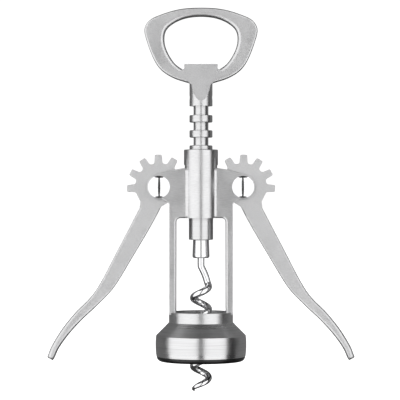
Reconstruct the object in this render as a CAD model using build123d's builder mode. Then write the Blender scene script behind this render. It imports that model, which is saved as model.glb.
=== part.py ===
from build123d import *
import os
from math import asin, atan2, cos, degrees, hypot, radians, sin, sqrt

# Lever corkscrew: a bell that stands on the bottle, two geared levers and a ringed rack that carries the screw.
# Millimetres. +Z runs up the screw's axis, +X towards the right lever, and -Y is the front.
# The origin is on the screw's axis, in the plane of the bell's open mouth. The levers stand part open.

# --- fits ---
RUNNING = 0.05          # radial gap between a shaft and the bore that it turns or slides in
GUIDE_GAP = 0.10        # radial gap between the rack's guide and the frame's tube
SEATED = 0.02           # gap between pieces that are pressed or crimped together

# --- bell, collar and bottle ring ---
BELL_RADIUS = 20.1      # widest part of the skirt
BELL_CORNER_Z = 11.3    # where the skirt turns into the cone
BELL_TOP_Z = 17.05      # top of the cone, under the frame's collar
BELL_WALL = 2.0
COLLAR_RADIUS = 14.2
COLLAR_BORE_RADIUS = 11.6
COLLAR_TOP_Z = 21.6
SPIGOT_RADIUS = 12.7    # the collar's lower end, pressed into the bell
SPIGOT_LENGTH = 3.0
RING_LIP_Z = 2.1        # height of the ring's lip below the skirt
RING_LIP_RADIUS = 19.6
RING_BORE_RADIUS = 15.5  # passes over a bottle's lip of about 29.5 mm
RING_HEIGHT = 10.0

# --- frame: posts, ears and tube ---
POST_OUTER_X = 14.1
POST_INNER_X = 10.9
FRAME_DEPTH = 9.0
WINDOW_TOP_Z = 63.2
TUBE_RADIUS = 7.55
TUBE_TOP_Z = 93.5
EAR_TUBE_Z = 85.3       # where the ear's top edge meets the tube
EAR_END_RADIUS = 5.4
PLATE_EDGE = 0.35       # rounding of the plate's outer edges
POST_ROUND = 0.9        # rounding of the posts' inner edges and of the window's top
EAR_CORNER = 1.2        # rounding where the ear's underside meets the post
TUBE_ROOT = 2.0         # fillet where the tube meets the plate
WINDOW_CORNER = 1.8
PIVOT_X = 18.57
PIVOT_Z = 77.0
PIVOT_RADIUS = 2.0

# --- rack ---
RACK_PITCH = 6.7
RING_RADIUS = 5.1
GROOVE_RADIUS = 3.3
RACK_RING_HEIGHT = 3.2
RACK_RING_ROUND = 0.4
RINGS_ABOVE_PIVOT = 5
RINGS_BELOW_PIVOT = 1
GUIDE_RADIUS = 5.4
GUIDE_BOTTOM_Z = 53.6
ROD_RADIUS = 2.3

# --- levers ---
LEVER_THICKNESS = 4.0
WASHER_THICKNESS = 0.25
WASHER_RADIUS = 4.6
SIDE_GAP = 0.05         # play on each side of each washer
TOOTH_COUNT = 8
TOOTH_STEP = 30.5       # degrees from one tooth to the next
TOOTH_TIP_RADIUS = 14.2
TOOTH_ROOT_RADIUS = 10.5
TOOTH_TIP_WIDTH = 3.0
TOOTH_BASE_WIDTH = 3.6
TOOTH_TIP_ROUND = 0.5
TOOTH_ROOT_ROUND = 0.5
RIM_START = -38         # degrees: the toothed rim runs from here, anticlockwise from the outward side
RIM_END = 216.5
HUB_RADIUS = 8.0
SLOT_GAP = 0.6          # from the tooth tips to the bottom of the frame's slot
GRIP_DEPTH = 10.0
GRIP_LENGTH = 46.0
ARM_EDGE = 0.3

# --- rivets ---
RIVET_HEAD_RADIUS = 4.85
RIVET_HEAD_HEIGHT = 1.5

# --- handle ---
STEM_RADIUS = 5.1
STEM_BOTTOM_Z = 112.8
LOOP_THICKNESS = 5.6
LOOP_TOP_Z = 156.2
LOOP_HALF_WIDTH = 24.9
LOOP_BAR = 3.8          # width of the loop's top bar
TONGUE_HALF_WIDTH = 7.4
TONGUE_TOP_Z = 131.4
TONGUE_THICKNESS = 3.0
TONGUE_SCOOP_RADIUS = 55.0
HANDLE_PIN_RADIUS = 1.0
HANDLE_PIN_Z = 116.5
ROD_TOP_Z = 121.5
LOOP_EDGE = 0.8         # rounding of the loop's outer edges
HOLE_EDGE = 1.6         # rounding of the loop's inner edges, where a finger goes

# --- ferrule and worm ---
FERRULE_BOTTOM_Z = 45.5
FERRULE_TOP_RADIUS = 3.55
FERRULE_BOTTOM_RADIUS = 3.8
THRUST_WASHER = 0.4
WIRE_RADIUS = 1.55
WORM_RADIUS = 3.4       # from the axis to the middle of the wire
WORM_PITCH = 10.1
WORM_TIP_Z = -13.6
SHANK_END_Z = 41.5      # the wire leaves the axis below here
WORM_START_ANGLE = 308  # degrees round the axis, where the wire leaves the shank
LEAD_IN_TURNS = 0.85
LEAD_IN_PULL = 1.6      # how far the lead-in runs straight at its two ends
TAPER_TURNS = 0.6
HELIX_SPANS = 8         # the helix is drawn in this many lengths
WIRE_POINT = 0.2        # share of the wire's radius left at the point

os.makedirs("parts", exist_ok=True)


def save(piece, name):
    """Label a finished piece and write it as one STEP file."""
    piece.part.label = name
    export_step(piece.part, f"parts/{name}.step")
    print(f"{name}: {piece.part.volume:.1f} mm3")


# worked out from the sizes above
ear_slot = LEVER_THICKNESS + 2 * WASHER_THICKNESS + 4 * SIDE_GAP
tube_bore = GUIDE_RADIUS + GUIDE_GAP
slot_radius = TOOTH_TIP_RADIUS + SLOT_GAP
pivot_right = Plane(origin=(PIVOT_X, 0, PIVOT_Z), x_dir=(1, 0, 0), z_dir=(0, -1, 0))
front = Plane.XZ

# ---------------------------------------------------------------- frame casting
with BuildPart() as frame_casting:
    # yoke, ears and posts in one plate, drawn from the front: the right half and its mirror image
    with BuildSketch(front):
        with BuildLine():
            top = Polyline((0, EAR_TUBE_Z), (TUBE_RADIUS - 0.5, EAR_TUBE_Z))
            end_top = (
                PIVOT_X + EAR_END_RADIUS * cos(radians(64)),
                PIVOT_Z + EAR_END_RADIUS * sin(radians(64)),
            )
            shoulder = ThreePointArc(top @ 1, (PIVOT_X - 3.4, PIVOT_Z + 6.75), end_top)
            end_low = (
                PIVOT_X + EAR_END_RADIUS * cos(radians(-105)),
                PIVOT_Z + EAR_END_RADIUS * sin(radians(-105)),
            )
            nose = ThreePointArc(end_top, (PIVOT_X + EAR_END_RADIUS, PIVOT_Z), end_low)
            under = Line(end_low, (POST_OUTER_X, PIVOT_Z - 7.3))
            Polyline(under @ 1, (POST_OUTER_X, COLLAR_TOP_Z - 1), (0, COLLAR_TOP_Z - 1), (0, EAR_TUBE_Z))
        make_face()
        with Locations((0, (COLLAR_TOP_Z + WINDOW_TOP_Z) / 2 - 5)):
            window_height = WINDOW_TOP_Z - COLLAR_TOP_Z + 10
            RectangleRounded(2 * POST_INNER_X, window_height, WINDOW_CORNER, mode=Mode.SUBTRACT)
        mirror(about=Plane.YZ)
    extrude(amount=FRAME_DEPTH / 2, both=True)
    corner = frame_casting.edges().filter_by(Axis.Y).filter_by(
        lambda e: abs(abs(e.center().X) - POST_OUTER_X) < 0.01 and e.center().Z > WINDOW_TOP_Z
    )
    fillet(corner, EAR_CORNER)
    outlines = frame_casting.faces().filter_by(Axis.Y).edges().filter_by(lambda e: e.center().Z > COLLAR_TOP_Z)
    window = outlines.filter_by(
        lambda e: abs(e.center().X) < POST_INNER_X + 0.01 and e.center().Z < WINDOW_TOP_Z + 0.01
    )
    outer = [edge for edge in outlines if edge not in window]
    fillet(window, POST_ROUND)
    fillet(outer, PLATE_EDGE)
    # the tube grows out of the plate's front and back, with a fillet down each side
    with BuildSketch(Plane.XY.offset(WINDOW_TOP_Z)):
        Circle(TUBE_RADIUS)
    extrude(amount=TUBE_TOP_Z - WINDOW_TOP_Z)
    fillet(frame_casting.edges().filter_by(GeomType.CIRCLE).sort_by(Axis.Z)[-1], PLATE_EDGE)
    with BuildSketch(Plane.XY.offset(WINDOW_TOP_Z + POST_ROUND)) as tube_root:
        Circle(TUBE_RADIUS)
        Rectangle(2 * TUBE_RADIUS + TUBE_ROOT / 2, FRAME_DEPTH)
        hollows = tube_root.vertices().filter_by(lambda v: abs(v.X) < TUBE_RADIUS)
        fillet(hollows, TUBE_ROOT)
    extrude(amount=EAR_TUBE_Z - 3 * PLATE_EDGE - WINDOW_TOP_Z - POST_ROUND)
    # the collar and its spigot
    with BuildSketch(Plane.XY.offset(BELL_TOP_Z)):
        Circle(COLLAR_RADIUS)
    extrude(amount=COLLAR_TOP_Z - BELL_TOP_Z)
    with BuildSketch(Plane.XY.offset(BELL_TOP_Z)):
        Circle(SPIGOT_RADIUS)
    extrude(amount=-SPIGOT_LENGTH)
    with BuildSketch(Plane.XY.offset(BELL_TOP_Z - SPIGOT_LENGTH)):
        Circle(COLLAR_BORE_RADIUS)
    extrude(amount=COLLAR_TOP_Z - BELL_TOP_Z + SPIGOT_LENGTH + 1, mode=Mode.SUBTRACT)
    # the rack's bore
    with BuildSketch(Plane.XY.offset(WINDOW_TOP_Z - 1)):
        Circle(tube_bore)
    extrude(amount=TUBE_TOP_Z - WINDOW_TOP_Z + 2, mode=Mode.SUBTRACT)
    # a slot for each gear, open to the outside and into the bore
    with BuildSketch(front):
        with Locations((PIVOT_X, PIVOT_Z), (-PIVOT_X, PIVOT_Z)):
            Circle(slot_radius)
    extrude(amount=ear_slot / 2, both=True, mode=Mode.SUBTRACT)
    with BuildSketch(front):
        with Locations((PIVOT_X, PIVOT_Z), (-PIVOT_X, PIVOT_Z)):
            Circle(PIVOT_RADIUS + SEATED)
    extrude(amount=FRAME_DEPTH, both=True, mode=Mode.SUBTRACT)
save(frame_casting, "frame_casting")

# ---------------------------------------------------------------- bell
with BuildPart() as bell:
    with BuildSketch(front):
        with BuildLine():
            neck = SPIGOT_RADIUS + SEATED
            liner = RING_LIP_RADIUS - BELL_WALL + 0.4
            inner_top = BELL_TOP_Z - SPIGOT_LENGTH
            Polyline(
                (neck, BELL_TOP_Z),
                (COLLAR_RADIUS, BELL_TOP_Z),
                (BELL_RADIUS - 0.2, BELL_CORNER_Z),
            )
            Spline(
                (BELL_RADIUS - 0.2, BELL_CORNER_Z),
                (BELL_RADIUS, (BELL_CORNER_Z + RING_LIP_Z) / 2 - 1),
                (BELL_RADIUS - 0.35, RING_LIP_Z),
            )
            Polyline(
                (BELL_RADIUS - 0.35, RING_LIP_Z),
                (liner, RING_LIP_Z),
                (liner, BELL_CORNER_Z - 0.6),
                (neck, inner_top),
                (neck, BELL_TOP_Z),
            )
        make_face()
    revolve(axis=Axis.Z)
save(bell, "bell")

# ---------------------------------------------------------------- bottle ring
with BuildPart() as bottle_ring:
    with BuildSketch(front):
        with BuildLine():
            Polyline(
                (RING_BORE_RADIUS, 1.2),
                (RING_BORE_RADIUS, RING_HEIGHT),
                (liner - SEATED, RING_HEIGHT),
                (liner - SEATED, RING_LIP_Z - SEATED),
                (RING_LIP_RADIUS, RING_LIP_Z - SEATED),
            )
            ThreePointArc(
                (RING_LIP_RADIUS, RING_LIP_Z - SEATED),
                (RING_LIP_RADIUS - 0.4, 0.75),
                (RING_LIP_RADIUS - 1.4, 0),
            )
            Polyline(
                (RING_LIP_RADIUS - 1.4, 0),
                (RING_BORE_RADIUS + 1.2, 0),
                (RING_BORE_RADIUS, 1.2),
            )
        make_face()
    revolve(axis=Axis.Z)
save(bottle_ring, "bottle_ring")

# ---------------------------------------------------------------- levers
# One lever, drawn round its pivot: x runs outwards, y runs up. The arm leaves the hub at about 28 degrees
# from the vertical, narrows through an S-bend and ends in a thumb grip that is deep from front to back.
arm_top_out = (5.2, -3.0)
arm_knee_out = (25.3, -41.4)
arm_top_in = (-2.3, -6.0)
arm_knee_in = (17.6, -41.4)
tip_out = (49.4, -75.3)
tip_in = (46.9, -76.7)
first_tooth = 180 + TOOTH_STEP - TOOTH_STEP * (TOOTH_COUNT - 1)


def draw_arm():
    """The arm's outline, from hub to tip and back."""
    out = Line(arm_top_out, arm_knee_out)
    bend_out = Spline(
        arm_knee_out, (30.0, -48.5), (37.0, -55.6), (42.7, -62.7), (47.1, -69.8), tip_out,
        tangents=(out % 1, (0.32, -0.95)),
    )
    end = Line(tip_out, tip_in)
    back = Line(arm_knee_in, arm_top_in)
    Spline(
        tip_in, (44.4, -71.5), (38.6, -63.5), (30.7, -55.6), (23.3, -48.5), arm_knee_in,
        tangents=((-0.45, 0.89), back % 0),
    )
    Line(arm_top_in, arm_top_out)
    return out, bend_out, end, back


with BuildPart() as arm_swell:
    # the arm as it is seen along its width: a flat plate, a swell and a rounded end
    lean = atan2(tip_out[0] - arm_knee_in[0], arm_knee_in[1] - tip_out[1])
    along = (sin(lean), 0, -cos(lean))
    across = (cos(lean), 0, sin(lean))
    tip_world = (PIVOT_X + tip_out[0], 0, PIVOT_Z + tip_out[1])
    half, plate = GRIP_DEPTH / 2, LEVER_THICKNESS / 2
    arm_start = -1.3 * hypot(*tip_out)
    with BuildSketch(Plane(origin=tip_world, x_dir=along, z_dir=across)):
        with BuildLine():
            for side in (1, -1):
                Line((arm_start, 0), (arm_start, side * plate))
                Line((arm_start, side * plate), (-GRIP_LENGTH, side * plate))
                swell = Spline(
                    (-GRIP_LENGTH, side * plate),
                    (-GRIP_LENGTH * 0.62, side * (plate + 1.3)),
                    (-GRIP_LENGTH * 0.28, side * half),
                    tangents=((1, 0), (1, 0)),
                )
                Spline(
                    swell @ 1,
                    (-4.5, side * (half - 0.35)),
                    (-1.2, side * (half - 1.9)),
                    (0.2, 0),
                    tangents=((1, 0), (0, -side)),
                )
        make_face()
    extrude(amount=hypot(*tip_out), both=True)

with BuildPart() as arm:
    with BuildSketch(pivot_right):
        with BuildLine():
            draw_arm()
        make_face()
    extrude(amount=GRIP_DEPTH, both=True)
    add(arm_swell.part, mode=Mode.INTERSECT)
    fillet(arm.edges().filter_by(lambda e: abs(e.center().Y) > 0.5 and e.length > 1), ARM_EDGE)

with BuildPart() as right_lever:
    with BuildSketch(pivot_right) as lever_face:
        Circle(HUB_RADIUS)
        with BuildLine():
            rim = CenterArc((0, 0), TOOTH_ROOT_RADIUS, RIM_START, RIM_END - RIM_START)
            Line(rim @ 1, (0, 0))
            Line((0, 0), rim @ 0)
        make_face()
        # the arm's two sides run into the hub in wide curves
        with BuildLine():
            crotch = ThreePointArc((-3.5, -7.1), (-0.9, -8.8), (0.8, -11.2))
            Polyline(crotch @ 1, (4.0, -9.0), (0, 0), crotch @ 0)
        make_face()
        with BuildLine():
            neck_side = Line(rim @ 0, (8.6, -9.0))
            Polyline(neck_side @ 1, (4.0, -6.0), (0, 0), rim @ 0)
        make_face()
        with PolarLocations(0, TOOTH_COUNT, first_tooth, TOOTH_STEP * (TOOTH_COUNT - 1), endpoint=True):
            with Locations(((TOOTH_TIP_RADIUS + HUB_RADIUS) / 2, 0)):
                tooth_length = TOOTH_TIP_RADIUS - HUB_RADIUS
                flank = (TOOTH_BASE_WIDTH - TOOTH_TIP_WIDTH) / 2 / (TOOTH_TIP_RADIUS - TOOTH_ROOT_RADIUS)
                taper = degrees(atan2(1, flank))
                Trapezoid(TOOTH_TIP_WIDTH + 2 * flank * tooth_length, tooth_length, taper, rotation=-90)
        tips = lever_face.vertices().filter_by(lambda v: hypot(v.X, v.Y) > TOOTH_TIP_RADIUS - 0.3)
        fillet(tips, TOOTH_TIP_ROUND)
    extrude(amount=LEVER_THICKNESS / 2, both=True)
    roots = right_lever.edges().filter_by(Axis.Y).filter_by(
        lambda e: abs(hypot(e.center().X - PIVOT_X, e.center().Z - PIVOT_Z) - TOOTH_ROOT_RADIUS) < 0.3
    )
    fillet(roots.filter_by(lambda e: e.center().Z > PIVOT_Z - 4.5), TOOTH_ROOT_ROUND)
    add(arm.part)
    with BuildSketch(pivot_right):
        Circle(PIVOT_RADIUS + RUNNING)
    extrude(amount=LEVER_THICKNESS, both=True, mode=Mode.SUBTRACT)
save(right_lever, "right_lever")

with BuildPart() as left_lever:
    mirror(right_lever.part, about=Plane.YZ)
save(left_lever, "left_lever")

# ---------------------------------------------------------------- pivots
# A domed rivet through each ear and lever, closed by a second dome at the back, and a thin washer on
# each side of the lever's hub.
ear_face = FRAME_DEPTH / 2
shank_end = ear_face + RIVET_HEAD_HEIGHT * 0.5
sphere = (RIVET_HEAD_RADIUS**2 + RIVET_HEAD_HEIGHT**2) / (2 * RIVET_HEAD_HEIGHT)


def dome_outline(inner):
    """Half of a dome's section beyond the ear's face, hollow up to the radius inner."""
    crown = (0, ear_face + SEATED + RIVET_HEAD_HEIGHT)
    rim = (RIVET_HEAD_RADIUS, ear_face + SEATED)
    middle = (sphere * sin(asin(RIVET_HEAD_RADIUS / sphere) / 2), 0)
    rise = sqrt(sphere**2 - middle[0] ** 2) - (sphere - RIVET_HEAD_HEIGHT)
    ThreePointArc(crown, (middle[0], ear_face + SEATED + rise), rim)
    if inner:
        Polyline(rim, (inner, rim[1]), (inner, shank_end + SEATED), (0, shank_end + SEATED), crown)
    else:
        Polyline(rim, (PIVOT_RADIUS, rim[1]), (PIVOT_RADIUS, -shank_end), (0, -shank_end), crown)


turning = Plane(origin=(PIVOT_X, 0, PIVOT_Z), x_dir=(1, 0, 0), z_dir=(0, 0, 1))
with BuildPart() as rear_shape:
    with BuildSketch(turning):
        with BuildLine():
            dome_outline(PIVOT_RADIUS + SEATED)
        make_face()
    revolve(axis=Axis((PIVOT_X, 0, PIVOT_Z), (0, 1, 0)))
with BuildPart() as front_shape:
    with BuildSketch(turning):
        with BuildLine():
            dome_outline(0)
        make_face()
    revolve(axis=Axis((PIVOT_X, 0, PIVOT_Z), (0, 1, 0)))

with BuildPart() as right_rivet_cap:
    add(rear_shape.part)
save(right_rivet_cap, "right_rivet_cap")

with BuildPart() as left_rivet_cap:
    mirror(right_rivet_cap.part, about=Plane.YZ)
save(left_rivet_cap, "left_rivet_cap")

with BuildPart() as right_pivot_rivet:
    mirror(front_shape.part, about=Plane.XZ)
save(right_pivot_rivet, "right_pivot_rivet")

with BuildPart() as left_pivot_rivet:
    mirror(right_pivot_rivet.part, about=Plane.YZ)
save(left_pivot_rivet, "left_pivot_rivet")

with BuildPart() as right_lever_washers:
    for side in (1, -1):
        with BuildSketch(pivot_right.offset(side * (LEVER_THICKNESS + WASHER_THICKNESS + 2 * SIDE_GAP) / 2)):
            Circle(WASHER_RADIUS)
            Circle(PIVOT_RADIUS + RUNNING, mode=Mode.SUBTRACT)
        extrude(amount=WASHER_THICKNESS / 2, both=True)
save(right_lever_washers, "right_lever_washers")

with BuildPart() as left_lever_washers:
    mirror(right_lever_washers.part, about=Plane.YZ)
save(left_lever_washers, "left_lever_washers")

# ---------------------------------------------------------------- rack
rack_top_z = STEM_BOTTOM_Z - THRUST_WASHER
guide_top_z = PIVOT_Z - (RINGS_BELOW_PIVOT + 0.5) * RACK_PITCH + RACK_RING_HEIGHT / 2
with BuildPart() as rack_sleeve:
    with BuildSketch(Plane.XY.offset(GUIDE_BOTTOM_Z)):
        Circle(GROOVE_RADIUS)
    extrude(amount=rack_top_z - GUIDE_BOTTOM_Z)
    with BuildSketch(Plane.XY.offset(GUIDE_BOTTOM_Z)):
        Circle(GUIDE_RADIUS)
    extrude(amount=guide_top_z - GUIDE_BOTTOM_Z)
    for ring in range(-RINGS_BELOW_PIVOT, RINGS_ABOVE_PIVOT):
        with BuildSketch(Plane.XY.offset(PIVOT_Z + (ring + 0.5) * RACK_PITCH - RACK_RING_HEIGHT / 2)):
            Circle(RING_RADIUS)
        extrude(amount=RACK_RING_HEIGHT)
    rims = rack_sleeve.edges().filter_by(GeomType.CIRCLE).filter_by(lambda e: e.radius > RING_RADIUS - 0.01)
    fillet(rims, RACK_RING_ROUND)
    with BuildSketch(Plane.XY.offset(GUIDE_BOTTOM_Z)):
        Circle(ROD_RADIUS + RUNNING)
    extrude(amount=rack_top_z - GUIDE_BOTTOM_Z, mode=Mode.SUBTRACT)
save(rack_sleeve, "rack_sleeve")

with BuildPart() as upper_thrust_washer:
    with BuildSketch(Plane.XY.offset(rack_top_z + SEATED)):
        Circle(GROOVE_RADIUS)
        Circle(ROD_RADIUS + RUNNING, mode=Mode.SUBTRACT)
    extrude(amount=THRUST_WASHER - 2 * SEATED)
save(upper_thrust_washer, "upper_thrust_washer")

ferrule_top_z = GUIDE_BOTTOM_Z - THRUST_WASHER
with BuildPart() as lower_thrust_washer:
    with BuildSketch(Plane.XY.offset(ferrule_top_z + SEATED)):
        Circle(FERRULE_TOP_RADIUS)
        Circle(ROD_RADIUS + RUNNING, mode=Mode.SUBTRACT)
    extrude(amount=THRUST_WASHER - 2 * SEATED)
save(lower_thrust_washer, "lower_thrust_washer")

# ---------------------------------------------------------------- core rod, ferrule and worm
shank_top_z = FERRULE_BOTTOM_Z + 3.2
with BuildPart() as core_rod:
    with BuildSketch(Plane.XY.offset(shank_top_z + 0.2)):
        Circle(ROD_RADIUS)
    extrude(amount=ROD_TOP_Z - shank_top_z - 0.2)
    with BuildSketch(Plane.YZ):
        with Locations((0, HANDLE_PIN_Z)):
            Circle(HANDLE_PIN_RADIUS + SEATED)
    extrude(amount=STEM_RADIUS, both=True, mode=Mode.SUBTRACT)
save(core_rod, "core_rod")

with BuildPart() as ferrule:
    with BuildSketch(front):
        with BuildLine():
            rod_hole, wire_hole = ROD_RADIUS + SEATED, WIRE_RADIUS + SEATED
            Polyline(
                (wire_hole, FERRULE_BOTTOM_Z),
                (wire_hole, shank_top_z + 0.1),
                (rod_hole, shank_top_z + 0.1),
                (rod_hole, ferrule_top_z),
                (FERRULE_TOP_RADIUS, ferrule_top_z),
                (FERRULE_BOTTOM_RADIUS, FERRULE_BOTTOM_Z + 0.9),
            )
            ThreePointArc(
                (FERRULE_BOTTOM_RADIUS, FERRULE_BOTTOM_Z + 0.9),
                (FERRULE_BOTTOM_RADIUS - 0.26, FERRULE_BOTTOM_Z + 0.26),
                (FERRULE_BOTTOM_RADIUS - 0.9, FERRULE_BOTTOM_Z),
            )
            Line((FERRULE_BOTTOM_RADIUS - 0.9, FERRULE_BOTTOM_Z), (wire_hole, FERRULE_BOTTOM_Z))
        make_face()
    revolve(axis=Axis.Z)
save(ferrule, "ferrule")

# The wire runs straight down out of the ferrule, swings out to its radius, winds down as a right-handed helix,
# and its last stretch is ground to a point.
helix_top_z = SHANK_END_Z - WORM_PITCH * LEAD_IN_TURNS
taper_z = WORM_TIP_Z + WORM_PITCH * TAPER_TURNS


def wire_angle(z):
    """Degrees round the axis at which the wire passes this height."""
    return WORM_START_ANGLE - 360 * (SHANK_END_Z - z) / WORM_PITCH


def helix(low, high):
    """The helix between two heights, turned to where the wire passes them."""
    return Helix(WORM_PITCH, high - low, WORM_RADIUS, center=(0, 0, low), mode=Mode.PRIVATE).rotate(
        Axis.Z, wire_angle(low)
    )


with BuildPart() as worm:
    with BuildLine() as wire_line:
        for span in range(HELIX_SPANS):
            low = taper_z + span * (helix_top_z - taper_z) / HELIX_SPANS
            body = helix(low, low + (helix_top_z - taper_z) / HELIX_SPANS)
            add(body)
        Spline(
            body @ 1, (0, 0, SHANK_END_Z),
            tangents=(body % 1, Vector(0, 0, 1)), tangent_scalars=(LEAD_IN_PULL, LEAD_IN_PULL),
        )
        Line((0, 0, SHANK_END_Z), (0, 0, shank_top_z))
    wire = wire_line.wires()[0]
    with BuildSketch(Plane(origin=wire @ 0, z_dir=wire % 0)) as full_wire:
        Circle(WIRE_RADIUS)
    sweep(path=wire)
    point_line = helix(WORM_TIP_Z, taper_z)
    with BuildSketch(Plane(origin=point_line @ 0, z_dir=point_line % 0)) as point:
        Circle(WIRE_RADIUS * WIRE_POINT)
    sweep(sections=[point.sketch, full_wire.sketch], path=point_line, multisection=True, is_frenet=True)
save(worm, "worm")

# ---------------------------------------------------------------- handle
# A flat loop on a round stem, with a tongue inside the loop that lifts crown caps. Its front and back are
# scooped from the tongue's edge down into the stem.
loop_bottom = (STEM_RADIUS, 122.9)
hole_corner = (TONGUE_HALF_WIDTH + 0.6, 128.9)
root_z = 118.0          # the loop's plate reaches down inside the stem to here
root_half = sqrt(STEM_RADIUS**2 - (LOOP_THICKNESS / 2) ** 2) - 0.05
scoop_z = TONGUE_TOP_Z + 3.2
scoop_y = TONGUE_THICKNESS / 2 + TONGUE_SCOOP_RADIUS
with BuildPart() as scoops:
    with BuildSketch(Plane.YZ):
        with Locations((scoop_y, scoop_z), (-scoop_y, scoop_z)):
            Circle(TONGUE_SCOOP_RADIUS)
    extrude(amount=2 * TONGUE_HALF_WIDTH, both=True)
with BuildPart() as scoop_window:
    with BuildSketch(front):
        with BuildLine():
            Polyline(
                (0, STEM_BOTTOM_Z), (STEM_RADIUS + 0.2, STEM_BOTTOM_Z), (STEM_RADIUS + 0.2, 123.2),
                (TONGUE_HALF_WIDTH, 128.5), (TONGUE_HALF_WIDTH, scoop_z), (0, scoop_z), (0, STEM_BOTTOM_Z),
            )
        make_face()
        mirror(about=Plane.YZ)
    extrude(amount=STEM_RADIUS + 1, both=True)
    add(scoops.part, mode=Mode.INTERSECT)



def loop_rims(shortest, longest):
    """The edges round the loop's front and back whose length lies between two values."""
    return handle.edges().filter_by(lambda e: shortest < e.length < longest and abs(e.center().Y) > 1)


with BuildPart() as handle:
    with BuildSketch(front):
        with BuildLine():
            crown = Spline(
                (0, LOOP_TOP_Z), (10.6, 155.3), (18.6, 152.8), (23.1, 150.3), (LOOP_HALF_WIDTH, 147.2),
                (24.2, 142.1), (21.2, 134.1), (17.5, 128.7), (11.1, 124.8), loop_bottom,
                tangents=((1, 0), (-0.95, -0.3)),
            )
            Polyline(
                crown @ 1, (root_half, loop_bottom[1] - 0.7), (root_half, root_z), (0, root_z), (0, LOOP_TOP_Z)
            )
        make_face()
        with BuildLine():
            hole = Spline(
                (0, LOOP_TOP_Z - LOOP_BAR), (7.3, 151.5), (13.0, 148.8), (15.5, 146.1), (16.2, 143.0),
                (15.4, 138.1), (12.2, 132.3), hole_corner,
                tangents=((1, 0), (-0.85, -0.53)),
            )
            Polyline(
                hole @ 1, (TONGUE_HALF_WIDTH, 129.3), (TONGUE_HALF_WIDTH, TONGUE_TOP_Z), (0, TONGUE_TOP_Z),
                (0, LOOP_TOP_Z - LOOP_BAR),
            )
        make_face(mode=Mode.SUBTRACT)
        mirror(about=Plane.YZ)
    extrude(amount=LOOP_THICKNESS / 2, both=True)
    fillet(loop_rims(4 * LOOP_HALF_WIDTH, 8 * LOOP_HALF_WIDTH), LOOP_EDGE)
    fillet(loop_rims(LOOP_HALF_WIDTH, 4 * LOOP_HALF_WIDTH), HOLE_EDGE)
    with BuildSketch(Plane.XY.offset(STEM_BOTTOM_Z)):
        Circle(STEM_RADIUS)
    extrude(amount=scoop_z - 8 - STEM_BOTTOM_Z)
    add(scoop_window.part, mode=Mode.SUBTRACT)
    with BuildSketch(Plane.XY.offset(STEM_BOTTOM_Z)):
        Circle(ROD_RADIUS + SEATED)
    extrude(amount=ROD_TOP_Z + 0.1 - STEM_BOTTOM_Z, mode=Mode.SUBTRACT)
    with BuildSketch(Plane.YZ):
        with Locations((0, HANDLE_PIN_Z)):
            Circle(HANDLE_PIN_RADIUS + SEATED)
    extrude(amount=STEM_RADIUS + 1, both=True, mode=Mode.SUBTRACT)
save(handle, "handle")

with BuildPart() as handle_pin:
    with BuildSketch(Plane.YZ):
        with Locations((0, HANDLE_PIN_Z)):
            Circle(HANDLE_PIN_RADIUS)
    extrude(amount=STEM_RADIUS - 0.15, both=True)
save(handle_pin, "handle_pin")
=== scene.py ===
# %% [markdown]
# # A lever corkscrew
# The corkscrew arrives from the workshop as a set of finished pieces that already sit, turn and slide in the
# right places. This lesson dresses it: it gives every piece the finish that its maker would, models the worm
# and levers again with finer edges, and then lights and frames the whole like a catalogue picture.
# Everything is in metres. The worm's axis is Z, the wings spread along X, and the front faces -Y.

# %% Load the workshop's pieces
from math import cos, exp, pi, radians, sin

import bmesh
import bpy
from mathutils import Matrix, Vector


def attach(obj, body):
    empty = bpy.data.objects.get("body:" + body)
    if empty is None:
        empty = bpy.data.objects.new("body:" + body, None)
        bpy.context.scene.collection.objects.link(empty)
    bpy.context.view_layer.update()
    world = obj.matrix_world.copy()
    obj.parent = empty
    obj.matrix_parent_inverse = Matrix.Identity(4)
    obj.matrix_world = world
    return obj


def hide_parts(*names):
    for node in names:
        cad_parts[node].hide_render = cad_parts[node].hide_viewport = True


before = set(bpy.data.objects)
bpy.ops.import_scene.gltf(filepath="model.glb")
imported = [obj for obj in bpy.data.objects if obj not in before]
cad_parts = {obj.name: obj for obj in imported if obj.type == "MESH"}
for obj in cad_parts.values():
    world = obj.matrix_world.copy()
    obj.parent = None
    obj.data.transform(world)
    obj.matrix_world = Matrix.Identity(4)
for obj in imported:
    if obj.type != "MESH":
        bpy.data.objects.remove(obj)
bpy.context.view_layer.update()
MM = 0.001

# %% [markdown]
# ## The view
# The camera looks straight at the front through a long lens, from just below the rivets' height, so upright
# lines stay upright and the bell's rims are only just curved. It comes first, because every later choice is
# judged through it.

# %% Camera
CAMERA_DISTANCE = 0.8
EYE_HEIGHT = 0.0712
SIDE_STEP = -0.00044
LENS = 162.5

camera_data = bpy.data.cameras.new("camera")
camera_data.lens = LENS
camera_data.sensor_width = 36
camera_data.clip_end = 20
camera = bpy.data.objects.new("camera", camera_data)
camera.location = (SIDE_STEP, -CAMERA_DISTANCE, EYE_HEIGHT)
camera.rotation_euler = (radians(90), 0, 0)
bpy.context.scene.collection.objects.link(camera)
bpy.context.scene.camera = camera
print("camera", CAMERA_DISTANCE, "m in front, eye at", EYE_HEIGHT, "m")

# %% [markdown]
# ## Helpers for finishes
# Every finish here is one Principled shader whose roughness and bump come from noise in the piece's own
# Object coordinates, so that a pattern stays with the piece. The first helper makes the shader. The second
# adds one noise, stretched by a Mapping node: the same noise is a fine grain when it is even, and brushing
# when it is squeezed along one axis. The others send a noise to a value, a colour or the surface's height.


# %% Shader helper
def new_finish(name, color, metallic, roughness):
    """A material with one Principled shader. Gives the material and its shader node."""
    material = bpy.data.materials.new(name)
    material.use_nodes = True
    shader = material.node_tree.nodes["Principled BSDF"]
    shader.inputs["Base Color"].default_value = (*color, 1)
    shader.inputs["Metallic"].default_value = metallic
    shader.inputs["Roughness"].default_value = roughness
    return material, shader


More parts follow.
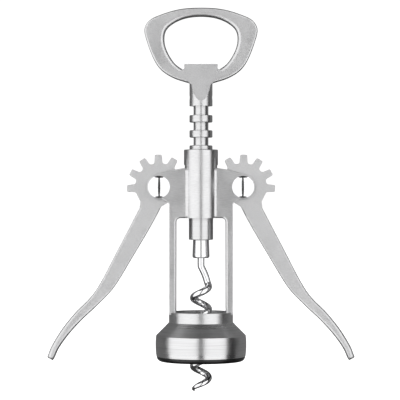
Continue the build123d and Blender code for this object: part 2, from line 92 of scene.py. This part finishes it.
def noise(material, stretch, detail=3.0):
    """A noise in Object coordinates, scaled per axis in waves a metre. Gives the noise node."""
    nodes, links = material.node_tree.nodes, material.node_tree.links
    place = nodes.new("ShaderNodeTexCoord")
    mapping = nodes.new("ShaderNodeMapping")
    mapping.inputs["Scale"].default_value = stretch
    texture = nodes.new("ShaderNodeTexNoise")
    texture.inputs["Scale"].default_value = 1.0
    texture.inputs["Detail"].default_value = detail
    links.new(place.outputs["Object"], mapping.inputs["Vector"])
    links.new(mapping.outputs["Vector"], texture.inputs["Vector"])
    return texture


def spread(material, source, low, high, socket):
    """Sends a noise to a socket, spread between two values."""
    nodes, links = material.node_tree.nodes, material.node_tree.links
    ramp = nodes.new("ShaderNodeMapRange")
    ramp.inputs["From Min"].default_value = 0.3
    ramp.inputs["From Max"].default_value = 0.7
    ramp.inputs["To Min"].default_value = low
    ramp.inputs["To Max"].default_value = high
    links.new(source.outputs["Fac"], ramp.inputs["Value"])
    links.new(ramp.outputs["Result"], socket)


def tint(material, source, dark, light, socket):
    """Sends a noise to a colour socket, spread between two colours."""
    nodes, links = material.node_tree.nodes, material.node_tree.links
    ramp = nodes.new("ShaderNodeValToRGB")
    ramp.color_ramp.elements[0].position = 0.3
    ramp.color_ramp.elements[0].color = (*dark, 1)
    ramp.color_ramp.elements[1].position = 0.7
    ramp.color_ramp.elements[1].color = (*light, 1)
    links.new(source.outputs["Fac"], ramp.inputs["Fac"])
    links.new(ramp.outputs["Color"], socket)


def raise_surface(material, shader, source, height, strength):
    """Gives the shader a bump from a noise, height metres deep."""
    nodes, links = material.node_tree.nodes, material.node_tree.links
    bump = nodes.new("ShaderNodeBump")
    bump.inputs["Distance"].default_value = height
    bump.inputs["Strength"].default_value = strength
    links.new(source.outputs["Fac"], bump.inputs["Height"])
    links.new(bump.outputs["Normal"], shader.inputs["Normal"])


# %% [markdown]
# ## Satin and turned steel
# The casting, levers and handle are steel that was tumbled or blasted to an even satin, with a grain of a
# tenth of a millimetre or so. The bell and rack were finished on a lathe, so their satin is a pack of fine
# rings round the Z axis: the noise is squeezed along Z and long across it. Brushed rings scatter light up and
# down far more than sideways, which is what anisotropy says, with the tangent running round the axis.

# %% Satin and turned steel
STEEL = (0.70, 0.70, 0.705)


def satin_steel(name, roughness, stretch):
    material, shader = new_finish(name, STEEL, 1.0, roughness)
    grain = noise(material, stretch, 4.0)
    clouds = noise(material, (120, 120, 120), 2.0)
    spread(material, clouds, roughness - 0.04, roughness + 0.04, shader.inputs["Roughness"])
    tint(material, grain, (0.64, 0.64, 0.645), (0.74, 0.74, 0.745), shader.inputs["Base Color"])
    raise_surface(material, shader, grain, 0.00004, 0.35)
    return material


def turned_steel(name, roughness, lines):
    """Steel brushed round the Z axis, with so many lines a metre."""
    material, shader = new_finish(name, STEEL, 1.0, roughness)
    rings = noise(material, (25, 25, lines), 5.0)
    bands = noise(material, (12, 12, 420), 2.0)
    spread(material, bands, roughness - 0.05, roughness + 0.05, shader.inputs["Roughness"])
    tint(material, rings, (0.60, 0.60, 0.605), (0.77, 0.77, 0.775), shader.inputs["Base Color"])
    raise_surface(material, shader, rings, 0.00003, 0.3)
    nodes, links = material.node_tree.nodes, material.node_tree.links
    tangent = nodes.new("ShaderNodeTangent")
    tangent.direction_type = "RADIAL"
    tangent.axis = "Z"
    shader.inputs["Anisotropic"].default_value = 0.6
    shader.inputs["Anisotropic Rotation"].default_value = 0.25
    links.new(tangent.outputs["Tangent"], shader.inputs["Tangent"])
    return material


lever_steel = satin_steel("satin lever steel", 0.42, (2600, 2600, 2600))
handle_steel = satin_steel("satin handle steel", 0.36, (3000, 3000, 3000))
casting_steel = satin_steel("satin casting steel", 0.32, (500, 500, 4200))
bell_steel = turned_steel("turned bell steel", 0.30, 5200)
rack_steel = turned_steel("turned rack steel", 0.36, 6400)
print("satin steels made")

# %% [markdown]
# ## Chrome, black ring and plain washers
# The rivets, the ferrule and the worm are polished and plated: a low roughness, with faint broad clouds of
# polishing haze so that the mirror isn't perfect. The ring under the bell is black plastic with a dull
# sheen. Hidden washers and pins get honest plain finishes, because other views and poses do show them.


# %% Chrome, plastic and plain metal
def chrome(name, roughness):
    material, shader = new_finish(name, (0.83, 0.83, 0.84), 1.0, roughness)
    haze = noise(material, (260, 260, 260), 3.0)
    spread(material, haze, roughness * 0.6, roughness * 1.5, shader.inputs["Roughness"])
    tint(material, haze, (0.80, 0.80, 0.81), (0.86, 0.86, 0.87), shader.inputs["Base Color"])
    return material


def plastic(name, dark, light, roughness, grain_size):
    material, shader = new_finish(name, light, 0.0, roughness)
    grain = noise(material, (grain_size, grain_size, grain_size), 3.0)
    spread(material, grain, roughness - 0.06, roughness + 0.08, shader.inputs["Roughness"])
    tint(material, grain, dark, light, shader.inputs["Base Color"])
    raise_surface(material, shader, grain, 0.00003, 0.3)
    return material


dome_chrome = chrome("polished dome chrome", 0.07)
worm_chrome = chrome("polished worm chrome", 0.10)
ring_black = plastic("black ring plastic", (0.006, 0.006, 0.0065), (0.014, 0.014, 0.0145), 0.34, 1800)
washer_white = plastic("washer nylon", (0.66, 0.66, 0.63), (0.78, 0.78, 0.75), 0.45, 900)
pin_steel = turned_steel("drawn pin steel", 0.3, 3000)

FINISH_OF = {
    "frame_casting": casting_steel,
    "bell": bell_steel,
    "bottle_ring": ring_black,
    "left_lever": lever_steel,
    "right_lever": lever_steel,
    "left_pivot_rivet": dome_chrome,
    "right_pivot_rivet": dome_chrome,
    "left_rivet_cap": dome_chrome,
    "right_rivet_cap": dome_chrome,
    "left_lever_washers": washer_white,
    "right_lever_washers": washer_white,
    "rack_sleeve": rack_steel,
    "upper_thrust_washer": pin_steel,
    "lower_thrust_washer": pin_steel,
    "handle": handle_steel,
    "handle_pin": pin_steel,
    "core_rod": pin_steel,
    "ferrule": worm_chrome,
    "worm": worm_chrome,
}
for name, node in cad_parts.items():
    for material_slot in node.material_slots:
        material_slot.material = FINISH_OF[name]
print("finishes given to", len(FINISH_OF), "pieces")

# %% [markdown]
# ## The worm
# The worm is one steel wire, wound over a mandrel and ground to a point. A curve with a round bevel is the
# natural tool: its points follow a formula for the helix, and each point's radius thins the wire towards
# its tip. The curve is made a mesh at the end, so that the finished piece is an ordinary closed surface.

# %% Wind the worm
WIRE_RADIUS = 1.55 * MM
COIL_RADIUS = 3.4 * MM
PITCH = 10.1 * MM
TIP_Z = -13.55 * MM
SHANK_END_Z = 42.0 * MM
SHANK_TOP_Z = 48.6 * MM
COIL_TOP_Z = 32.9 * MM
LEAD_IN_SWING = radians(35)
TAPER = 0.75 * PITCH
STEPS_PER_TURN = 40


def wire_place(z):
    """The middle of the wire at a height: on the axis in the shank, swinging out over the lead-in."""
    above = max(z - COIL_TOP_Z, 0)
    out = 1 - (above / (SHANK_END_Z - COIL_TOP_Z)) ** 2 if above < SHANK_END_Z - COIL_TOP_Z else 0
    radius = COIL_RADIUS * out**1.2
    angle = 2 * pi * (min(z, COIL_TOP_Z) - COIL_TOP_Z) / PITCH
    angle += LEAD_IN_SWING * (1 - exp(-2 * pi * above / PITCH / LEAD_IN_SWING))
    return Vector((radius * cos(angle), radius * sin(angle), z))


def wire_thickness(z):
    """Full above the ground point, then rounding down to a fine tip."""
    share = min((z - TIP_Z) / TAPER, 1)
    return 0.10 + 0.90 * (share * (2 - share)) ** 0.75


step_z = PITCH / STEPS_PER_TURN
heights = [TIP_Z + i * step_z for i in range(int((SHANK_END_Z - TIP_Z) / step_z) + 1)]
heights += [SHANK_END_Z + 1 * MM, (SHANK_END_Z + SHANK_TOP_Z) / 2, SHANK_TOP_Z]
wire_curve = bpy.data.curves.new("worm_wire", "CURVE")
wire_curve.dimensions = "3D"
wire_curve.bevel_depth = WIRE_RADIUS
wire_curve.bevel_resolution = 6
wire_curve.use_fill_caps = True
line = wire_curve.splines.new("POLY")
line.points.add(len(heights) - 1)
for point, z in zip(line.points, heights):
    point.co = (*wire_place(z), 1)
    point.radius = wire_thickness(z)
wire_object = bpy.data.objects.new("worm_wire", wire_curve)
bpy.context.scene.collection.objects.link(wire_object)
bpy.context.view_layer.update()


# %% Keep finished meshes the same way
def finish_piece(name, mesh, material, body, slot, *replaced):
    """Links a finished mesh as a piece that rides on a body and stands for workshop pieces."""
    shape = bmesh.new()
    shape.from_mesh(mesh)
    bmesh.ops.remove_doubles(shape, verts=shape.verts, dist=1e-7)
    bmesh.ops.recalc_face_normals(shape, faces=shape.faces)
    shape.to_mesh(mesh)
    open_edges = sum(1 for edge in shape.edges if not edge.is_manifold)
    shape.free()
    mesh.shade_smooth()
    mesh.materials.clear()
    mesh.materials.append(material)
    piece = bpy.data.objects.new(name, mesh)
    bpy.context.scene.collection.objects.link(piece)
    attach(piece, body)
    if replaced:
        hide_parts(*replaced)
    print(name, len(mesh.polygons), "faces,", open_edges, "open edges")
    return piece


evaluated = wire_object.evaluated_get(bpy.context.evaluated_depsgraph_get())
worm_mesh = bpy.data.meshes.new_from_object(evaluated)
worm_mesh.name = "worm_wound"
bpy.data.objects.remove(wire_object)
finish_piece("worm_wound", worm_mesh, worm_chrome, "screw", "polished_chrome", "worm")

# %% [markdown]
# ## The levers
# Each lever is forged: a toothed hub, a flat arm whose long edges are well rounded, and a grip that swells
# from front to back. The arm is a loft. Ten stations give its outer and inner side, its half depth and the
# radius of its edges, and smooth curves between the stations give the rest. The hub is a thick outline with
# teeth. A Boolean joins the two, and another drills the pivot hole. Both levers come from the same recipe.

# %% The arm: sections and loft
PIVOT = Vector((18.57, 0, 77.0))
HALF_PLATE = 1.98
STATIONS = (
    # outer side, inner side, half depth, edge radius, all in millimetres from the pivot
    ((5.2, -3.0), (-2.3, -6.0), HALF_PLATE, 0.7),
    ((10.6, -13.3), (3.2, -16.6), HALF_PLATE, 0.7),
    ((18.4, -28.2), (11.9, -31.4), HALF_PLATE, 0.7),
    ((25.3, -41.4), (19.8, -44.3), 2.15, 0.8),
    ((30.0, -48.5), (26.6, -51.7), 3.05, 1.0),
    ((37.0, -55.6), (33.7, -58.4), 4.15, 1.2),
    ((42.7, -62.7), (39.7, -64.9), 4.95, 1.3),
    ((47.1, -69.8), (44.3, -71.2), 4.7, 1.25),
    ((49.0, -74.3), (46.4, -75.7), 3.9, 1.1),
    ((49.35, -75.25), (46.9, -76.6), 2.6, 0.9),
)
STEPS_PER_STATION = 6
CORNER_STEPS = 4


def blend(a, b, c, d, t):
    """A smooth value between b and c, with a and d as its outer neighbours."""
    return (
        2 * b + (c - a) * t + (2 * a - 5 * b + 4 * c - d) * t**2 + (3 * b - a - 3 * c + d) * t**3
    ) / 2


def station_values():
    """Every section's outer side, inner side, half depth and edge radius."""
    rows = [Vector((*outer, *inner, depth, edge)) for outer, inner, depth, edge in STATIONS]
    rows = [2 * rows[0] - rows[1], *rows, 2 * rows[-1] - rows[-2]]
    for i in range(1, len(rows) - 2):
        for step in range(STEPS_PER_STATION):
            yield blend(*rows[i - 1:i + 3], step / STEPS_PER_STATION)
    yield rows[-2]


def section(values):
    """A rounded rectangle across the arm. Gives its corners in order, as points round the pivot."""
    outer, inner = Vector((values[0], 0, values[1])), Vector((values[2], 0, values[3]))
    middle, half = (outer + inner) / 2, (outer - inner) / 2
    wide, deep, edge = half.length, values[4], min(values[5], half.length * 0.8)
    across, front = half.normalized(), Vector((0, -1, 0))
    points = []
    for right, near, start in ((1, 1, 0), (-1, 1, 90), (-1, -1, 180), (1, -1, 270)):
        corner = middle + across * right * (wide - edge) + front * near * (deep - edge)
        for step in range(CORNER_STEPS + 1):
            turn = radians(start + 90 * step / CORNER_STEPS)
            points.append(corner + edge * (across * cos(turn) + front * sin(turn)))
    return points


def loft_arm(shape):
    """Adds the arm to a bmesh as one closed skin."""
    rings = [[shape.verts.new(point) for point in section(values)] for values in station_values()]
    for low, high in zip(rings, rings[1:]):
        for i in range(len(low)):
            shape.faces.new((low[i - 1], low[i], high[i], high[i - 1]))
    shape.faces.new(rings[0])
    shape.faces.new(reversed(rings[-1]))


# %% The toothed hub
TEETH = 8
TOOTH_STEP = 30.5
TOOTH_TIP, TOOTH_ROOT, HUB = 14.2, 10.5, 8.0
HALF_TIP_WIDTH, HALF_ROOT_WIDTH = 1.5, 1.8
RIM_START, RIM_END = -38, 216.5         # degrees: the toothed rim, anticlockwise from the outward side
HALF_FOOT = 12.0                        # degrees from a tooth's middle to where the rim runs plain
TIP_ROUND = 0.5
HUB_STOPS = (RIM_END, 230, 243)         # degrees: the plain part of the hub, up to the neck
NECK = ((-0.9, -8.8), (0.8, -11.2), (4.5, -10.0), (8.6, -9.0))


def hub_outline():
    """The hub's outline round the pivot, anticlockwise, with a tooth every step."""
    def at(angle, radius, aside=0.0):
        turn = radians(angle)
        return Vector((radius * cos(turn) - aside * sin(turn), 0, radius * sin(turn) + aside * cos(turn)))

    points = [at(RIM_START, TOOTH_ROOT)]
    for tooth in range(TEETH):
        angle = 180 + TOOTH_STEP * (tooth + 2 - TEETH)
        for side in (-1, 1):
            foot = at(angle, TOOTH_ROOT, side * HALF_ROOT_WIDTH)
            foot_out = at(angle, TOOTH_ROOT + 0.35, side * (HALF_ROOT_WIDTH - 0.05))
            foot_rim = at(angle + side * HALF_FOOT, TOOTH_ROOT)
            shoulder = at(angle, TOOTH_TIP - TIP_ROUND, side * (HALF_TIP_WIDTH + 0.03))
            turned = at(angle, TOOTH_TIP - 0.15, side * (HALF_TIP_WIDTH - 0.12))
            tip = at(angle, TOOTH_TIP, side * (HALF_TIP_WIDTH - TIP_ROUND))
            rise = [foot_rim, foot_out, shoulder, turned, tip]
            points += rise if side < 0 else rise[::-1]
    points += [at(RIM_END, TOOTH_ROOT), *(at(stop, HUB) for stop in HUB_STOPS)]
    points += [Vector((x, 0, z)) for x, z in NECK]
    return points


def thick_outline(points, half_depth, edge):
    """A closed plate from an outline, with its two faces' rims bevelled."""
    shape = bmesh.new()
    back = shape.faces.new([shape.verts.new(point + Vector((0, half_depth, 0))) for point in points])
    swept = bmesh.ops.extrude_face_region(shape, geom=[back])["geom"]
    moved = [item for item in swept if isinstance(item, bmesh.types.BMVert)]
    bmesh.ops.translate(shape, verts=moved, vec=(0, -2 * half_depth, 0))
    bmesh.ops.recalc_face_normals(shape, faces=shape.faces)
    if edge:
        rims = [e for e in shape.edges if abs(e.verts[0].co.y - e.verts[1].co.y) < 1e-6]
        bmesh.ops.bevel(shape, geom=rims, offset=edge, segments=3, profile=0.5, affect="EDGES")
    return shape


# %% Join and mirror
HALF_HUB_DEPTH, HUB_EDGE, PIVOT_HOLE = 2.0, 0.22, 2.06
SHARP_ANGLE = radians(40)


def loose_object(name, shape):
    """A bmesh in millimetres round the pivot, as an object in metres."""
    bmesh.ops.recalc_face_normals(shape, faces=shape.faces)
    mesh = bpy.data.meshes.new(name)
    shape.to_mesh(mesh)
    shape.free()
    loose = bpy.data.objects.new(name, mesh)
    bpy.context.scene.collection.objects.link(loose)
    return loose


def forge_lever(side):
    """A lever's mesh, side 1 for the right one and -1 for the left: arm and hub in one skin, drilled."""
    arm_shape = bmesh.new()
    loft_arm(arm_shape)
    arm = loose_object("arm_skin", arm_shape)
    hub = loose_object("hub_skin", thick_outline(hub_outline(), HALF_HUB_DEPTH, HUB_EDGE))
    drill_shape = bmesh.new()
    bmesh.ops.create_cone(
        drill_shape, cap_ends=True, segments=48, radius1=PIVOT_HOLE, radius2=PIVOT_HOLE,
        depth=6 * HALF_HUB_DEPTH, matrix=Matrix.Rotation(radians(90), 4, "X"),
    )
    drill = loose_object("drill", drill_shape)
    for helper, operation in ((arm, "UNION"), (drill, "DIFFERENCE")):
        join = hub.modifiers.new(helper.name, "BOOLEAN")
        join.operation = operation
        join.solver = "EXACT"
        join.object = helper
    bpy.context.view_layer.update()
    mesh = bpy.data.meshes.new_from_object(hub.evaluated_get(bpy.context.evaluated_depsgraph_get()))
    for helper in (arm, hub, drill):
        bpy.data.objects.remove(helper)
    mesh.transform(Matrix.Scale(side, 4, (1, 0, 0)) @ Matrix.Scale(MM, 4) @ Matrix.Translation(PIVOT))
    return mesh


for name, side in (("right_lever", 1), ("left_lever", -1)):
    mesh = forge_lever(side)
    mesh.name = name + "_forged"
    lever = finish_piece(mesh.name, mesh, lever_steel, name, "satin_steel", name)
    mesh.set_sharp_from_angle(angle=SHARP_ANGLE)
    even_shading = lever.modifiers.new("even_shading", "WEIGHTED_NORMAL")
    even_shading.keep_sharp = True

# %% [markdown]
# ## Floor and light
# Metal shows the room more than itself. Two tall curved softboxes stand left and right, with a narrow gap
# between them where the camera looks through: the gap is the dark line down the middle of every tube. The
# right one ends sooner, against a dark flag, which shades the right-hand side of each round piece. Nothing
# hangs overhead, so surfaces that tip upwards go dark. The floor and the backdrop are plain and pale.

# %% Softboxes and flags
WALL_RADIUS = 1.6


def emitter(name, brightness):
    material = bpy.data.materials.new(name)
    material.use_nodes = True
    nodes, links = material.node_tree.nodes, material.node_tree.links
    nodes.remove(nodes["Principled BSDF"])
    light = nodes.new("ShaderNodeEmission")
    light.inputs["Color"].default_value = (1, 1, 1, 1)
    light.inputs["Strength"].default_value = brightness
    links.new(light.outputs["Emission"], nodes["Material Output"].inputs["Surface"])
    return material


def curved_wall(name, start, end, low, high, brightness):
    """A wall that bends round the object, from one angle to another off the camera's side."""
    shape = bmesh.new()
    foot = Matrix.Rotation(radians(start), 4, "Z") @ Vector((0, -WALL_RADIUS, low))
    head = Matrix.Rotation(radians(start), 4, "Z") @ Vector((0, -WALL_RADIUS, high))
    edge = shape.edges.new((shape.verts.new(foot), shape.verts.new(head)))
    bmesh.ops.spin(
        shape, geom=[edge, *edge.verts], cent=(0, 0, 0), axis=(0, 0, 1),
        angle=radians(end - start), steps=12, use_merge=False,
    )
    mesh = bpy.data.meshes.new(name)
    shape.to_mesh(mesh)
    shape.free()
    mesh.materials.append(emitter(name, brightness))
    wall = bpy.data.objects.new(name, mesh)
    bpy.context.scene.collection.objects.link(wall)
    wall.visible_camera = False
    wall.visible_shadow = False
    print(name, "from", start, "to", end, "degrees")


WALLS = (
    # name, first and last angle in degrees, foot and head in metres, brightness
    ("left_softbox", -90, -7, -2.4, 2.4, 1.35),
    ("right_softbox", 7, 68, -2.4, 2.4, 1.35),
    ("front_gap", -7, 7, -2.4, 2.4, 0.06),
    ("left_grey_wall", -180, -92, -0.8, 2.8, 0.16),
    ("right_flag", 70, 98, -2.4, 2.8, 0.03),
    ("right_grey_wall", 100, 180, -0.8, 2.8, 0.20),
)
for wall_values in WALLS:
    curved_wall(*wall_values)

# %% Floor and backdrop
FLOOR_Z = -0.03
floor_shape = bmesh.new()
bmesh.ops.create_grid(floor_shape, x_segments=1, y_segments=1, size=8)
bmesh.ops.translate(floor_shape, verts=floor_shape.verts, vec=(0, 0, FLOOR_Z))
floor_mesh = bpy.data.meshes.new("floor")
floor_shape.to_mesh(floor_mesh)
floor_shape.free()
floor_finish, floor_shader = new_finish("pale floor", (0.93, 0.93, 0.93), 0.0, 0.8)
floor_shader.inputs["Emission Color"].default_value = (1, 1, 1, 1)
floor_shader.inputs["Emission Strength"].default_value = 1.1
floor_mesh.materials.append(floor_finish)
floor = bpy.data.objects.new("floor", floor_mesh)
bpy.context.scene.collection.objects.link(floor)
floor.visible_glossy = False
floor.visible_diffuse = False

world = bpy.data.worlds.new("studio")
bpy.context.scene.world = world
world.use_nodes = True
world_nodes, world_links = world.node_tree.nodes, world.node_tree.links
room = world_nodes["Background"]
room.inputs["Color"].default_value = (1, 1, 1, 1)
room.inputs["Strength"].default_value = 0.05
backdrop = world_nodes.new("ShaderNodeBackground")
backdrop.inputs["Color"].default_value = (1, 1, 1, 1)
backdrop.inputs["Strength"].default_value = 1.1
seen = world_nodes.new("ShaderNodeLightPath")
choice = world_nodes.new("ShaderNodeMixShader")
world_links.new(seen.outputs["Is Camera Ray"], choice.inputs["Fac"])
world_links.new(room.outputs["Background"], choice.inputs[1])
world_links.new(backdrop.outputs["Background"], choice.inputs[2])
world_links.new(choice.outputs["Shader"], world_nodes["World Output"].inputs["Surface"])

bpy.context.scene.view_settings.view_transform = "Standard"
print("floor at", FLOOR_Z, "m, softboxes lit")
